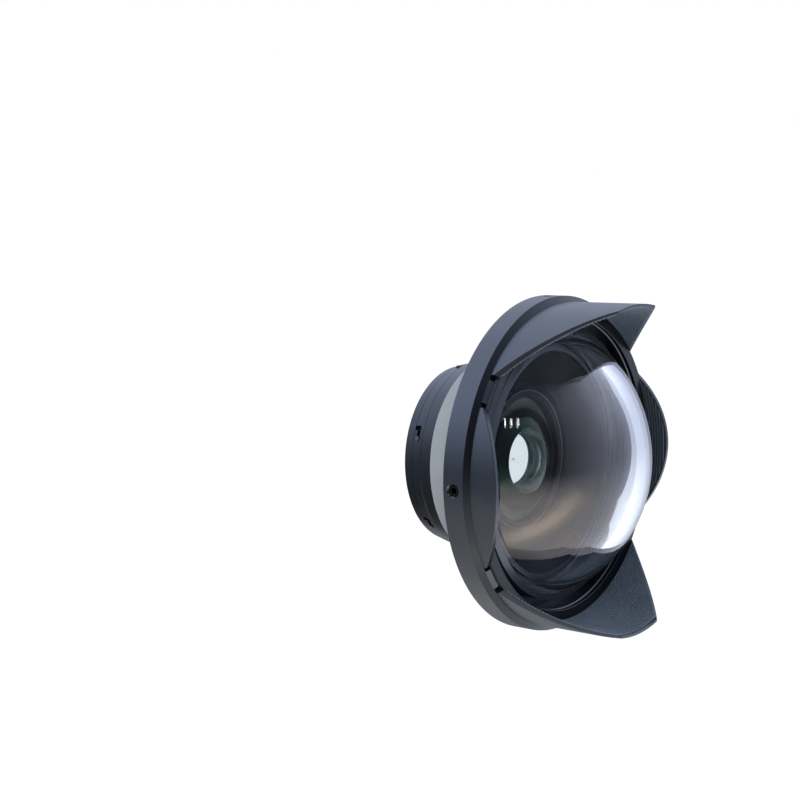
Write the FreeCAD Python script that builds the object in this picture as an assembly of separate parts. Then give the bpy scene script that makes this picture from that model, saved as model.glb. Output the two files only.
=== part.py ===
import FreeCAD, Part
import math
import os

# Wide-angle wet lens, in millimetres.
# The optical axis is the Y axis. The dome looks towards -Y and +Z is up.
# The origin is the centre of the rear seat face, which meets the camera port.
# "Forward" is the distance from that face towards the dome, so y = -forward.
# A clock angle turns from the top (+Z) towards +X.

# Inner lens, the widest element of the cell, and its retaining ring
inner_lens_radius = 30.4
inner_lens_edge = 4.5
inner_lens_front_sag = 13.0
inner_bowl_radius = 13.3
inner_bowl_depth = 8.0
inner_bowl_rim_height = 7.0
inner_ring_overlap = 1.6
inner_ring_step = 1.8
inner_ring_length = 4.3
glass_fit = 0.1
land_margin = 0.3

# Middle lens, and the spacer with the stop between it and the inner lens
inner_ledge_width = 2.5
middle_lens_edge = 5.0
middle_lens_sag = 2.6
spacer_length = 8.5
stop_radius = 15.5
stop_thickness = 0.8
stop_setback = 0.5

# Rear lens, its seal and its retaining ring
rear_lens_radius = 29.0
rear_lens_edge = 5.0
rear_lens_front_sag = 1.5
rear_lens_rear_sag = 2.0
rear_ring_width = 2.8
rear_ring_length = 2.6
rear_ring_end_gap = 0.3
spanner_slot_width = 2.0
spanner_slot_depth = 1.2
rear_seal_section_radius = 0.65
rear_seal_inset = 1.1
shoulder_width = 2.4
shoulder_length = 4.5

# Lens cell and the bore that it slides into
cell_wall = 2.1
cell_fit = 0.1
cell_end_gap = 0.6
cell_flange_width = 2.3
cell_flange_thickness = 2.4
cell_flange_setback = 1.0
cell_seal_setback = 3.1
seal_groove_width = 1.9
seal_groove_depth = 1.4
seal_section_radius = 0.68

# Port ring: threaded spigot, web and the sleeve inside the collar
spigot_radius = 33.5
spigot_length = 5.0
spigot_chamfer = 0.4
spigot_wall = 2.5
port_web_thickness = 3.0
port_band_length = 4.8
sleeve_step = 2.1
sleeve_wall = 3.8
sleeve_end_gap = 0.5
bayonet_fit = 0.1

# Rear cone shared by the port ring, the bayonet collar and the barrel
seat_step = 1.0
cone_slope = 0.2575
seam_gap = 0.25
collar_length = 5.7
barrel_length = 7.15
line_chamfer = 0.2

# Bayonet: pins on the sleeve and J-shaped slots in the collar
bayonet_count = 6
entry_angle = -65.3
twist_travel = 6.5
pin_radius = 1.0
pin_slot_gap = 0.1
pin_from_collar_edge = 2.6
pin_root_depth = 2.4
pin_proud = 0.55

# Main housing that carries the dome, the lens cell and the hood
float_length = 29.2
neck_wall = 6.0
housing_neck_length = 11.1
housing_cone_wall = 3.0
housing_shoulder_width = 7.0
housing_shoulder_rise = 2.6
flange_thickness = 4.2
rim_gap = 5.1
rim_wall = 2.92
dome_neck_length = 2.7
dome_seat_width = 4.2
throat_depth = 4.0
throat_step = 4.0
cavity_rear_step = 3.5

# Float collar trapped between the barrel and the housing flange
float_fit = 0.2
float_straight_length = 8.1
float_rim_inset = 2.5
float_rim_edge = 0.7

# Dome glass, its seal and its retaining ring
dome_edge_radius = 60.2
dome_rise = 35.5
dome_thickness = 7.0
dome_edge_height = 5.1
dome_seal_inset = 2.1
dome_seal_section_radius = 0.75
dome_seal_groove_gap = 0.05
neck_overhang = 0.05
retainer_bore_gap = 0.1
retainer_wall = 1.55
retainer_floor_gap = 0.3
retainer_lip_overlap = 0.7
retainer_lip_height = 0.45
retainer_glass_gap = 0.1

# Light baffles behind the dome
baffle_gap = 0.3
baffle_wall = 1.1
baffle_flange_thickness = 1.2
land_ring_height = 2.4
land_ring_width = 6.2
land_inner_width = 2.0
land_outer_width = 2.9
land_groove_depth = 1.4

# Hood: clamping band, shoulder and four petals
hood_fit = 0.08
hood_band_thickness = 6.0
hood_band_gap = 0.1
hood_band_width = 10.3
hood_band_chamfer = 0.4
hood_face_gap = 0.2
hood_lip_thickness = 2.8
hood_lip_overhang = 1.2
hood_lip_chamfer = 0.4
hood_shoulder_length = 2.0
hood_wall_thickness = 3.35
valley_chamfer_width = 2.0
valley_chamfer_height = 1.3
large_petal_height = 36.9
large_petal_half_angle = 50.0
large_petal_tip_half_width = 15.6
large_petal_side_radius = 165.0
large_petal_corner_radius = 3.0
small_petal_height = 11.8
small_petal_half_angle = 27.9
petal_notch_width = 2.4
petal_notch_depth = 1.8
petal_foot_thickness = 2.4
petal_tip_thickness = 1.2
petal_edge_round = 0.3
shortest_rounded_edge = 1.0

# Set screws of the hood and the groove that their points run in
set_screw_radius = 2.5
set_screw_gap = 0.06
set_screw_recess = 0.9
set_screw_mouth_step = 0.6
set_screw_mouth_depth = 0.6
set_screw_point_radius = 0.5
set_screw_chamfer = 0.3
set_screw_hex = 2.5
set_screw_hex_depth = 2.6
groove_depth = 1.3
groove_floor_half_width = 0.6
point_gap = 0.15

# Screws that join the collar, the barrel and the housing
small_screw_count = 6
thread_gap = 0.05
collar_screw_radius = 0.8
collar_screw_head_step = 0.7
collar_screw_head_height = 1.6
collar_screw_grip = 3.0
barrel_screw_radius = 1.25
barrel_screw_head_step = 0.95
barrel_screw_head_height = 2.0
barrel_screw_grip = 8.0
head_recess = 0.1

# Radii from the optical axis outwards
middle_lens_radius = inner_lens_radius - inner_ledge_width
shoulder_bore = min(rear_lens_radius, middle_lens_radius) - shoulder_width
rear_ring_bore = rear_lens_radius - rear_ring_width
rear_seal_circle = rear_lens_radius - rear_seal_inset
inner_ring_bore = inner_lens_radius - inner_ring_overlap
inner_ring_radius = inner_lens_radius + inner_ring_step
cell_radius = inner_ring_radius + glass_fit + cell_wall
cell_flange_radius = cell_radius + cell_flange_width
cell_bore = cell_radius + cell_fit
port_bore_radius = spigot_radius - spigot_wall
sleeve_inner_radius = cell_bore + sleeve_step
sleeve_outer_radius = sleeve_inner_radius + sleeve_wall
collar_bore = sleeve_outer_radius + bayonet_fit
seat_radius = collar_bore + seat_step
housing_neck_radius = cell_bore + neck_wall
throat_radius = dome_edge_radius - dome_seat_width
cavity_rear_radius = cell_flange_radius + cell_fit
cavity_front_radius = throat_radius - throat_step
housing_cone_radius = cavity_front_radius + housing_cone_wall
housing_shoulder_radius = housing_cone_radius + housing_shoulder_width
land_ring_bore = throat_radius - land_ring_width
dome_radius = (dome_edge_radius ** 2 + dome_rise ** 2) / (2 * dome_rise)
dome_seal_circle = dome_edge_radius - dome_seal_inset
dome_neck_radius = dome_edge_radius + neck_overhang
retainer_bore = dome_neck_radius + retainer_bore_gap
retainer_radius = retainer_bore + retainer_wall
rim_inner_radius = retainer_radius + rim_gap
rim_radius = rim_inner_radius + rim_wall
groove_floor_radius = rim_radius - groove_depth
hood_bore = rim_radius + hood_fit
hood_lip_radius = rim_inner_radius - hood_lip_overhang
hood_wall_radius = hood_bore + hood_wall_thickness
hood_band_radius = hood_bore + hood_band_thickness
float_rim_radius = hood_band_radius - float_rim_inset

# Places along the axis from the seat face forwards
collar_rear = port_band_length + seam_gap
pin_forward = collar_rear + pin_from_collar_edge
barrel_rear = collar_rear + collar_length
barrel_front = barrel_rear + barrel_length
cell_rear = port_web_thickness + cell_end_gap
rear_lens_rear = cell_rear + rear_ring_end_gap + rear_ring_length
rear_lens_seat = rear_lens_rear + rear_lens_edge
middle_lens_seat = rear_lens_seat + shoulder_length
spacer_rear = middle_lens_seat + middle_lens_edge
inner_lens_seat = spacer_rear + spacer_length
inner_ring_seat = inner_lens_seat + inner_lens_edge
cell_seat = inner_ring_seat + cell_flange_setback
cell_front = cell_seat + cell_flange_thickness
cavity_rear = cell_seat + cavity_rear_step
neck_front = barrel_front + housing_neck_length
flange_rear = barrel_front + float_length
housing_cone_front = flange_rear - housing_shoulder_rise
recess_floor = flange_rear + flange_thickness
dome_seat = recess_floor + dome_neck_length
throat_floor = dome_seat - throat_depth
dome_centre = dome_seat + dome_edge_height + dome_rise - dome_radius
band_rear = flange_rear + hood_band_gap
screw_forward = band_rear + hood_band_width / 2
band_front = band_rear + hood_band_width
shoulder_front = band_front + hood_shoulder_length
hood_face = shoulder_front + valley_chamfer_height
hood_tips = hood_face + large_petal_height
hood_lip_rear = hood_face - hood_lip_thickness
rim_front = hood_lip_rear - hood_face_gap

# Clock angle of the locked pins, and how far the cutting shapes reach past a surface
locked_angle = entry_angle - twist_travel
cutter_margin = 5.0

axis_point = FreeCAD.Vector(0, 0, 0)
axis_direction = FreeCAD.Vector(0, 1, 0)


def point(radius, forward):
    """A profile point in the XY plane."""
    return FreeCAD.Vector(radius, -forward, 0)


def line(start, end):
    return Part.makeLine(point(*start), point(*end))


def arc(start, middle, end):
    return Part.Arc(point(*start), point(*middle), point(*end)).toShape()


def turned_edges(edges):
    """Turn a closed profile of edges once round the optical axis."""
    face = Part.Face(Part.Wire(edges))
    return face.revolve(axis_point, axis_direction, 360)


def turned(profile):
    """Turn a closed polygon of (radius, forward) corners."""
    corners = [point(*corner) for corner in profile]
    face = Part.Face(Part.makePolygon(corners + corners[:1]))
    return face.revolve(axis_point, axis_direction, 360)


def at_clock(shape, angle):
    return shape.rotated(axis_point, axis_direction, angle)


def around(shape, count, first_angle=0.0):
    return [at_clock(shape, first_angle + 360.0 * i / count) for i in range(count)]


def axial_cylinder(radius, rear, front, circle):
    """A cylinder along the axis, at the top of a circle round it."""
    base = FreeCAD.Vector(0, -rear, circle)
    return Part.makeCylinder(radius, front - rear, base, FreeCAD.Vector(0, -1, 0))


def radial_cylinder(radius, low, high, forward):
    """A cylinder that points up from the axis."""
    base = FreeCAD.Vector(0, -forward, low)
    return Part.makeCylinder(radius, high - low, base, FreeCAD.Vector(0, 0, 1))


def radial_cone(low_radius, high_radius, low, high, forward):
    base = FreeCAD.Vector(0, -forward, low)
    return Part.makeCone(low_radius, high_radius, high - low, base, FreeCAD.Vector(0, 0, 1))


def seal_ring(circle, forward, section_radius):
    centre = FreeCAD.Vector(0, -forward, 0)
    return Part.makeTorus(circle, section_radius, centre, axis_direction)


def cone_radius(forward):
    """Outer radius of the rear cone."""
    return seat_radius + cone_slope * forward


def sphere_forward(radius, centre, distance):
    """How far forward a sphere lies at a distance from the axis."""
    return centre + math.sqrt(radius ** 2 - distance ** 2)


def bowed(edge_radius, forward, sag):
    """Half of a spherical face: a positive sag bulges forward."""
    bend = (edge_radius ** 2 + sag ** 2) / (2 * abs(sag))
    half = edge_radius / 2
    drop = math.copysign(bend - math.sqrt(bend ** 2 - half ** 2), sag)
    return arc((0, forward + sag), (half, forward + sag - drop), (edge_radius, forward))


def lens_element(edge_radius, rear_face, front_face):
    """A glass element: each face has a clear radius, its place and its sag."""
    (rear_clear, rear, rear_sag), (front_clear, front, front_sag) = rear_face, front_face
    return turned_edges([bowed(rear_clear, rear, rear_sag),
                         line((rear_clear, rear), (edge_radius, rear)),
                         line((edge_radius, rear), (edge_radius, front)),
                         line((edge_radius, front), (front_clear, front)),
                         bowed(front_clear, front, front_sag),
                         line((0, front + front_sag), (0, rear + rear_sag))])


def port_ring():
    """The ring that stays on the camera port, with its spigot and sleeve."""
    sleeve_front = barrel_rear - sleeve_end_gap
    return turned([(port_bore_radius, -spigot_length),
                   (spigot_radius - spigot_chamfer, -spigot_length),
                   (spigot_radius, -spigot_length + spigot_chamfer),
                   (spigot_radius, 0),
                   (cone_radius(0), 0),
                   (cone_radius(port_band_length), port_band_length),
                   (sleeve_outer_radius, port_band_length),
                   (sleeve_outer_radius, sleeve_front),
                   (sleeve_inner_radius, sleeve_front),
                   (sleeve_inner_radius, port_web_thickness),
                   (port_bore_radius, port_web_thickness)])


def pin_holes(radius):
    low = sleeve_outer_radius - pin_root_depth
    hole = radial_cylinder(radius, low, sleeve_outer_radius + cutter_margin, pin_forward)
    return around(hole, bayonet_count, locked_angle)


def bayonet_pins():
    low = sleeve_outer_radius - pin_root_depth
    pin = radial_cylinder(pin_radius, low, cone_radius(pin_forward) + pin_proud, pin_forward)
    return Part.makeCompound(around(pin, bayonet_count, locked_angle))


def j_slot():
    """One slot: a straight way in from the rear, then a turn to the seat."""
    half = pin_radius + pin_slot_gap
    low = sleeve_outer_radius - cutter_margin
    high = cone_radius(barrel_rear) + cutter_margin
    entry = Part.makeBox(2 * half, pin_from_collar_edge + cutter_margin, high - low,
                         FreeCAD.Vector(-half, -pin_forward, low))
    corner = radial_cylinder(half, low, high, pin_forward)
    rear_edge, front_edge = pin_forward - half, pin_forward + half
    leg_face = Part.Face(Part.makePolygon([FreeCAD.Vector(0, -rear_edge, low),
                                           FreeCAD.Vector(0, -rear_edge, high),
                                           FreeCAD.Vector(0, -front_edge, high),
                                           FreeCAD.Vector(0, -front_edge, low),
                                           FreeCAD.Vector(0, -rear_edge, low)]))
    leg = leg_face.revolve(axis_point, axis_direction, -twist_travel)
    seat = at_clock(corner, -twist_travel)
    return entry.fuse([corner, leg, seat]).removeSplitter()


def bayonet_collar():
    collar = turned([(collar_bore, collar_rear),
                     (cone_radius(collar_rear), collar_rear),
                     (cone_radius(barrel_rear) - line_chamfer, barrel_rear - line_chamfer),
                     (cone_radius(barrel_rear) - 2 * line_chamfer, barrel_rear),
                     (collar_bore, barrel_rear)])
    return collar.cut(around(j_slot(), bayonet_count, entry_angle) + collar_screw_tools())


def collar_screw_angles():
    return entry_angle - twist_travel / 2 + 180.0 / bayonet_count


def collar_screw(gap):
    """A screw from the front of the barrel into the collar; gap widens it to a hole."""
    front = barrel_front - head_recess
    rear = barrel_rear - collar_screw_grip
    circle = (collar_bore + cone_radius(rear)) / 2
    head_radius = collar_screw_radius + collar_screw_head_step
    head = axial_cylinder(head_radius + gap, front - collar_screw_head_height,
                          front + 2 * gap, circle)
    shank = axial_cylinder(collar_screw_radius + gap, rear - gap,
                           front - collar_screw_head_height + gap, circle)
    return head.fuse(shank).removeSplitter()


def collar_screws():
    return Part.makeCompound(around(collar_screw(0), small_screw_count, collar_screw_angles()))


def collar_screw_tools():
    return around(collar_screw(thread_gap), small_screw_count, collar_screw_angles())


def barrel_screw(gap):
    """A screw from the rear of the barrel into the housing neck."""
    rear = barrel_rear + head_recess
    front = barrel_front + barrel_screw_grip
    circle = (cell_bore + housing_neck_radius) / 2
    head_radius = barrel_screw_radius + barrel_screw_head_step
    head = axial_cylinder(head_radius + gap, rear - 2 * gap,
                          rear + barrel_screw_head_height, circle)
    shank = axial_cylinder(barrel_screw_radius + gap, rear + barrel_screw_head_height - gap,
                           front + gap, circle)
    return head.fuse(shank).removeSplitter()


def barrel_screws():
    return Part.makeCompound(around(barrel_screw(0), small_screw_count))


def barrel_screw_tools():
    return around(barrel_screw(thread_gap), small_screw_count)


def rear_barrel():
    barrel = turned([(cell_bore, barrel_rear),
                     (cone_radius(barrel_rear) - 2 * line_chamfer, barrel_rear),
                     (cone_radius(barrel_rear), barrel_rear + line_chamfer),
                     (cone_radius(barrel_front), barrel_front),
                     (cell_bore, barrel_front)])
    return barrel.cut(collar_screw_tools() + barrel_screw_tools())


def float_collar():
    """The bell: a cone that goes on from the barrel and flares to the flange."""
    straight_end = barrel_front + float_straight_length
    lip_front = flange_rear - float_fit
    lip_rear = lip_front - float_rim_edge
    start = (cone_radius(straight_end), straight_end)
    end = (float_rim_radius, lip_rear)
    slope = math.atan(cone_slope)
    normal = (math.cos(slope), -math.sin(slope))
    chord = (end[0] - start[0], end[1] - start[1])
    bend = (chord[0] ** 2 + chord[1] ** 2) / (2 * (chord[0] * normal[0] + chord[1] * normal[1]))
    centre = (start[0] + bend * normal[0], start[1] + bend * normal[1])
    first = math.atan2(start[1] - centre[1], start[0] - centre[0])
    turn = math.atan2(end[1] - centre[1], end[0] - centre[0]) - first

    def flare(share):
        angle = first + share * turn
        return (centre[0] + bend * math.cos(angle), centre[1] + bend * math.sin(angle))

    neck = housing_neck_radius + float_fit
    corners = [start, (cone_radius(barrel_front), barrel_front), (neck, barrel_front),
               (neck, neck_front), (housing_cone_radius + float_fit, housing_cone_front),
               (housing_shoulder_radius + float_fit, lip_front), (float_rim_radius, lip_front),
               end]
    edges = [line(corners[i], corners[i + 1]) for i in range(len(corners) - 1)]
    edges += [arc(end, flare(0.75), flare(0.5)), arc(flare(0.5), flare(0.25), start)]
    return turned_edges(edges)


def main_housing():
    """The body: neck, cone, flange with the hood rim, and the seat of the dome."""
    groove_top = groove_floor_half_width + groove_depth
    seal_half = dome_seal_section_radius + dome_seal_groove_gap
    seal_floor = dome_seat - 2 * dome_seal_section_radius
    housing = turned([(cell_bore, barrel_front),
                      (housing_neck_radius, barrel_front),
                      (housing_neck_radius, neck_front),
                      (housing_cone_radius, housing_cone_front),
                      (housing_shoulder_radius, flange_rear),
                      (rim_radius, flange_rear),
                      (rim_radius, screw_forward - groove_top),
                      (groove_floor_radius, screw_forward - groove_floor_half_width),
                      (groove_floor_radius, screw_forward + groove_floor_half_width),
                      (rim_radius, screw_forward + groove_top),
                      (rim_radius, rim_front),
                      (rim_inner_radius, rim_front),
                      (rim_inner_radius, recess_floor),
                      (dome_neck_radius, recess_floor),
                      (dome_neck_radius, dome_seat),
                      (dome_seal_circle + seal_half, dome_seat),
                      (dome_seal_circle + seal_half, seal_floor),
                      (dome_seal_circle - seal_half, seal_floor),
                      (dome_seal_circle - seal_half, dome_seat),
                      (throat_radius, dome_seat),
                      (throat_radius, throat_floor),
                      (cavity_front_radius, throat_floor),
                      (cavity_rear_radius, cavity_rear),
                      (cavity_rear_radius, cell_seat),
                      (cell_bore, cell_seat)])
    return housing.cut(barrel_screw_tools())


def dome():
    """The meniscus front glass, ground flat where it sits on the housing."""
    edge_top = dome_seat + dome_edge_height
    inner_radius = dome_radius - dome_thickness
    seat_inner = math.sqrt(inner_radius ** 2 - (dome_seat - dome_centre) ** 2)
    outer_mid = dome_edge_radius * 0.5
    inner_mid = seat_inner * 0.5
    outer_top = dome_centre + dome_radius
    inner_top = dome_centre + inner_radius
    edges = [arc((0, outer_top), (outer_mid, sphere_forward(dome_radius, dome_centre, outer_mid)),
                 (dome_edge_radius, edge_top)),
             line((dome_edge_radius, edge_top), (dome_edge_radius, dome_seat)),
             line((dome_edge_radius, dome_seat), (seat_inner, dome_seat)),
             arc((seat_inner, dome_seat),
                 (inner_mid, sphere_forward(inner_radius, dome_centre, inner_mid)),
                 (0, inner_top)),
             line((0, inner_top), (0, outer_top))]
    return turned_edges(edges)


def dome_seal():
    return seal_ring(dome_seal_circle, dome_seat - dome_seal_section_radius,
                     dome_seal_section_radius)


def dome_retainer():
    """The thin ring screwed over the neck, with a bevelled lip over the glass edge."""
    lip_radius = dome_edge_radius - retainer_lip_overlap
    lip_seat = sphere_forward(dome_radius, dome_centre, lip_radius) + retainer_glass_gap
    edge_top = dome_seat + dome_edge_height + retainer_glass_gap
    return turned([(retainer_bore, recess_floor + retainer_floor_gap),
                   (retainer_radius, recess_floor + retainer_floor_gap),
                   (retainer_radius, edge_top),
                   (lip_radius, lip_seat + retainer_lip_height),
                   (lip_radius, lip_seat),
                   (retainer_bore, edge_top - (retainer_bore - dome_edge_radius))])


def baffle_cone():
    """The black funnel between the throat and the lens cell."""
    rear_radius = cavity_rear_radius - baffle_gap
    front_radius = cavity_front_radius - baffle_gap
    outer = throat_radius - baffle_gap
    top = throat_floor + baffle_flange_thickness
    steep = (front_radius - rear_radius) / (throat_floor - cavity_rear)
    inner_rear = rear_radius - baffle_wall
    inner_front = front_radius - baffle_wall + steep * baffle_flange_thickness
    return turned([(inner_rear, cavity_rear),
                   (rear_radius, cavity_rear),
                   (front_radius, throat_floor),
                   (outer, throat_floor),
                   (outer, top),
                   (inner_front, top)])


def land_ring():
    """The ring with two lands that holds the funnel down."""
    rear = throat_floor + baffle_flange_thickness
    front = rear + land_ring_height
    outer = throat_radius - glass_fit
    groove_outer = outer - land_outer_width
    groove_inner = land_ring_bore + land_inner_width
    return turned([(land_ring_bore, rear),
                   (outer, rear),
                   (outer, front),
                   (groove_outer, front),
                   (groove_outer, front - land_groove_depth),
                   (groove_inner, front - land_groove_depth),
                   (groove_inner, front),
                   (land_ring_bore, front)])


def lens_cell():
    """The tube that holds the three rear elements."""
    groove_floor = cell_radius - seal_groove_depth
    groove_rear = barrel_front + cell_seal_setback - seal_groove_width / 2
    groove_front = groove_rear + seal_groove_width
    ring_bore = inner_ring_radius + glass_fit
    inner_pocket = inner_lens_radius + glass_fit
    middle_pocket = middle_lens_radius + glass_fit
    rear_pocket = rear_lens_radius + glass_fit
    seal_out = rear_seal_circle + rear_seal_section_radius
    seal_in = rear_seal_circle - rear_seal_section_radius
    seal_floor = rear_lens_seat + 2 * rear_seal_section_radius
    return turned([(rear_pocket, cell_rear),
                   (cell_radius, cell_rear),
                   (cell_radius, groove_rear),
                   (groove_floor, groove_rear),
                   (groove_floor, groove_front),
                   (cell_radius, groove_front),
                   (cell_radius, cell_seat),
                   (cell_flange_radius, cell_seat),
                   (cell_flange_radius, cell_front),
                   (ring_bore, cell_front),
                   (ring_bore, inner_ring_seat),
                   (inner_pocket, inner_ring_seat),
                   (inner_pocket, inner_lens_seat),
                   (middle_pocket, inner_lens_seat),
                   (middle_pocket, middle_lens_seat),
                   (shoulder_bore, middle_lens_seat),
                   (shoulder_bore, rear_lens_seat),
                   (seal_in, rear_lens_seat),
                   (seal_in, seal_floor),
                   (seal_out, seal_floor),
                   (seal_out, rear_lens_seat),
                   (rear_pocket, rear_lens_seat)])


def cell_seal():
    circle = cell_radius - seal_groove_depth + seal_section_radius
    return seal_ring(circle, barrel_front + cell_seal_setback, seal_section_radius)


def rear_lens():
    return lens_element(rear_lens_radius,
                        (rear_ring_bore - land_margin, rear_lens_rear, rear_lens_rear_sag),
                        (shoulder_bore - land_margin, rear_lens_seat, rear_lens_front_sag))


def rear_lens_seal():
    return seal_ring(rear_seal_circle, rear_lens_seat + rear_seal_section_radius,
                     rear_seal_section_radius)


def rear_lens_ring():
    """The rear lens's retaining ring, with two slots for a spanner."""
    rear = cell_rear + rear_ring_end_gap
    ring = turned([(rear_ring_bore, rear), (rear_lens_radius, rear),
                   (rear_lens_radius, rear_lens_rear), (rear_ring_bore, rear_lens_rear)])
    corner = FreeCAD.Vector(-spanner_slot_width / 2, -rear - spanner_slot_depth, 0)
    slot = Part.makeBox(spanner_slot_width, spanner_slot_depth + cutter_margin,
                        rear_lens_radius + cutter_margin, corner)
    return ring.cut(around(slot, 2, 90.0))


def middle_lens():
    clear_radius = shoulder_bore - land_margin
    return lens_element(middle_lens_radius,
                        (clear_radius, middle_lens_seat, -middle_lens_sag),
                        (clear_radius, spacer_rear, middle_lens_sag))


def cell_spacer():
    """The spacer tube with the thin stop that bounds the light path."""
    stop_front = inner_lens_seat - stop_setback
    stop_rear = stop_front - stop_thickness
    return turned([(shoulder_bore, spacer_rear), (middle_lens_radius, spacer_rear),
                   (middle_lens_radius, inner_lens_seat), (shoulder_bore, inner_lens_seat),
                   (shoulder_bore, stop_front), (stop_radius, stop_front),
                   (stop_radius, stop_rear), (shoulder_bore, stop_rear)])


def inner_lens():
    """The thick front element: a bowl is ground behind it, inside a raised blackened cone."""
    cone_foot = shoulder_bore - land_margin
    front_clear = inner_ring_bore - land_margin
    bowl_rim = inner_lens_seat + inner_bowl_rim_height
    return turned_edges([bowed(inner_bowl_radius, bowl_rim, inner_bowl_depth),
                         line((inner_bowl_radius, bowl_rim), (cone_foot, inner_lens_seat)),
                         line((cone_foot, inner_lens_seat), (inner_lens_radius, inner_lens_seat)),
                         line((inner_lens_radius, inner_lens_seat),
                              (inner_lens_radius, inner_ring_seat)),
                         line((inner_lens_radius, inner_ring_seat),
                              (front_clear, inner_ring_seat)),
                         bowed(front_clear, inner_ring_seat, inner_lens_front_sag),
                         line((0, inner_ring_seat + inner_lens_front_sag),
                              (0, bowl_rim + inner_bowl_depth))])


def inner_lens_ring():
    front = inner_ring_seat + inner_ring_length
    return turned([(inner_ring_bore, inner_ring_seat), (inner_ring_radius, inner_ring_seat),
                   (inner_ring_radius, front), (inner_ring_bore, front)])


def petal_inner_radius(forward):
    """Inner radius of the petals, whose wall thins evenly from foot to tip."""
    share = (forward - hood_face) / large_petal_height
    thinning = petal_foot_thickness - petal_tip_thickness
    return hood_wall_radius - petal_foot_thickness + share * thinning


def hood_body():
    """Band, lip, shoulder and the full tube that the petals are cut from."""
    return turned([(hood_bore, band_rear + hood_band_chamfer),
                   (hood_bore + hood_band_chamfer, band_rear),
                   (hood_band_radius - hood_band_chamfer, band_rear),
                   (hood_band_radius, band_rear + hood_band_chamfer),
                   (hood_band_radius, band_front),
                   (hood_wall_radius, shoulder_front),
                   (hood_wall_radius, hood_tips),
                   (petal_inner_radius(hood_tips), hood_tips),
                   (petal_inner_radius(hood_face), hood_face),
                   (hood_lip_radius + hood_lip_chamfer, hood_face),
                   (hood_lip_radius, hood_face - hood_lip_chamfer),
                   (hood_lip_radius, hood_lip_rear),
                   (hood_bore, hood_lip_rear)])


def valley_blank():
    """Everything in front of the hood face, with the chamfer of the valleys."""
    far = hood_tips + cutter_margin
    wide = hood_band_radius + cutter_margin
    return turned([(0, hood_face), (hood_wall_radius - valley_chamfer_width, hood_face),
                   (hood_wall_radius, shoulder_front), (wide, shoulder_front),
                   (wide, far), (0, far)])


def outline_prism(edges):
    """A flat outline in the XY plane, raised from the axis past the hood wall."""
    face = Part.Face(Part.Wire(edges))
    return face.extrude(FreeCAD.Vector(0, 0, hood_band_radius + cutter_margin))


def large_petal_prism():
    foot = hood_wall_radius * math.sin(math.radians(large_petal_half_angle))
    tip = large_petal_tip_half_width
    top = hood_tips
    below = shoulder_front - cutter_margin
    chord = (tip - foot, top - hood_face)
    length = math.hypot(*chord)
    bulge = large_petal_side_radius - math.sqrt(large_petal_side_radius ** 2 - length ** 2 / 4)
    middle = ((foot + tip) / 2 + bulge * chord[1] / length,
              (hood_face + top) / 2 - bulge * chord[0] / length)
    left_middle = (-middle[0], middle[1])
    edges = [line((-foot, below), (foot, below)), line((foot, below), (foot, hood_face)),
             arc((foot, hood_face), middle, (tip, top)), line((tip, top), (-tip, top)),
             arc((-tip, top), left_middle, (-foot, hood_face)),
             line((-foot, hood_face), (-foot, below))]
    prism = outline_prism(edges)
    corners = [edge for edge in prism.Edges
               if abs(edge.Vertexes[0].Y + top) < 0.01 and abs(edge.Vertexes[-1].Y + top) < 0.01
               and abs(edge.Vertexes[0].X - edge.Vertexes[-1].X) < 0.01]
    return prism.makeFillet(large_petal_corner_radius, corners)


def small_petal_prism():
    foot = hood_wall_radius * math.sin(math.radians(small_petal_half_angle))
    below = shoulder_front - cutter_margin
    edges = [line((-foot, below), (foot, below)), line((foot, below), (foot, hood_face)),
             arc((foot, hood_face), (0, hood_face + small_petal_height), (-foot, hood_face)),
             line((-foot, hood_face), (-foot, below))]
    return outline_prism(edges)


def petal_notches():
    """Relief slots across the wall at both ends of every petal."""
    half = petal_notch_width / 2
    notch = Part.makeBox(petal_notch_width, petal_notch_depth + cutter_margin, 2 * cutter_margin,
                         FreeCAD.Vector(-half, -hood_face - cutter_margin,
                                        hood_bore - valley_chamfer_width))
    offset = math.degrees(half / hood_wall_radius)
    angles = []
    for centre, half_angle in ((0, large_petal_half_angle), (90, small_petal_half_angle),
                               (180, large_petal_half_angle), (270, small_petal_half_angle)):
        angles += [centre - half_angle - offset, centre + half_angle + offset]
    return [at_clock(notch, angle) for angle in angles]


def set_screw_holes():
    surface = hood_band_radius
    narrow = set_screw_radius + set_screw_gap
    wide = narrow + set_screw_mouth_step
    bore = radial_cylinder(narrow, hood_bore - cutter_margin, surface + cutter_margin,
                           screw_forward)
    mouth = radial_cone(narrow, wide, surface - set_screw_mouth_depth, surface, screw_forward)
    rise = radial_cylinder(wide, surface, surface + cutter_margin, screw_forward)
    return around(bore.fuse([mouth, rise]), 4)


def petal_edges(shape, wall_radius):
    """The edges in front of the hood face on a wall, given its radius along the axis."""
    found = []
    for edge in shape.Edges:
        first, last = edge.ParameterRange
        points = [edge.valueAt(first + (last - first) * i / 4) for i in range(5)]
        on_wall = all(abs(math.hypot(p.x, p.z) - wall_radius(-p.y)) < 0.01 for p in points)
        in_front = -points[2].y > hood_face + 0.01
        joins_two_faces = len(shape.ancestorsOfType(edge, Part.Face)) == 2
        if on_wall and in_front and joins_two_faces and edge.Length > shortest_rounded_edge:
            found.append(edge)
    return found


def hood():
    """The petal hood: the tube in front of the valleys stays only inside the petals."""
    blank = valley_blank()
    petals = [at_clock(large_petal_prism(), 0), at_clock(small_petal_prism(), 90),
              at_clock(large_petal_prism(), 180), at_clock(small_petal_prism(), 270)]
    waste = blank.cut(petals)
    sharp = hood_body().cut([waste] + petal_notches() + set_screw_holes()).removeSplitter()
    edges = petal_edges(sharp, lambda forward: hood_wall_radius)
    edges += petal_edges(sharp, petal_inner_radius)
    return sharp.makeFillet(petal_edge_round, edges)


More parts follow.
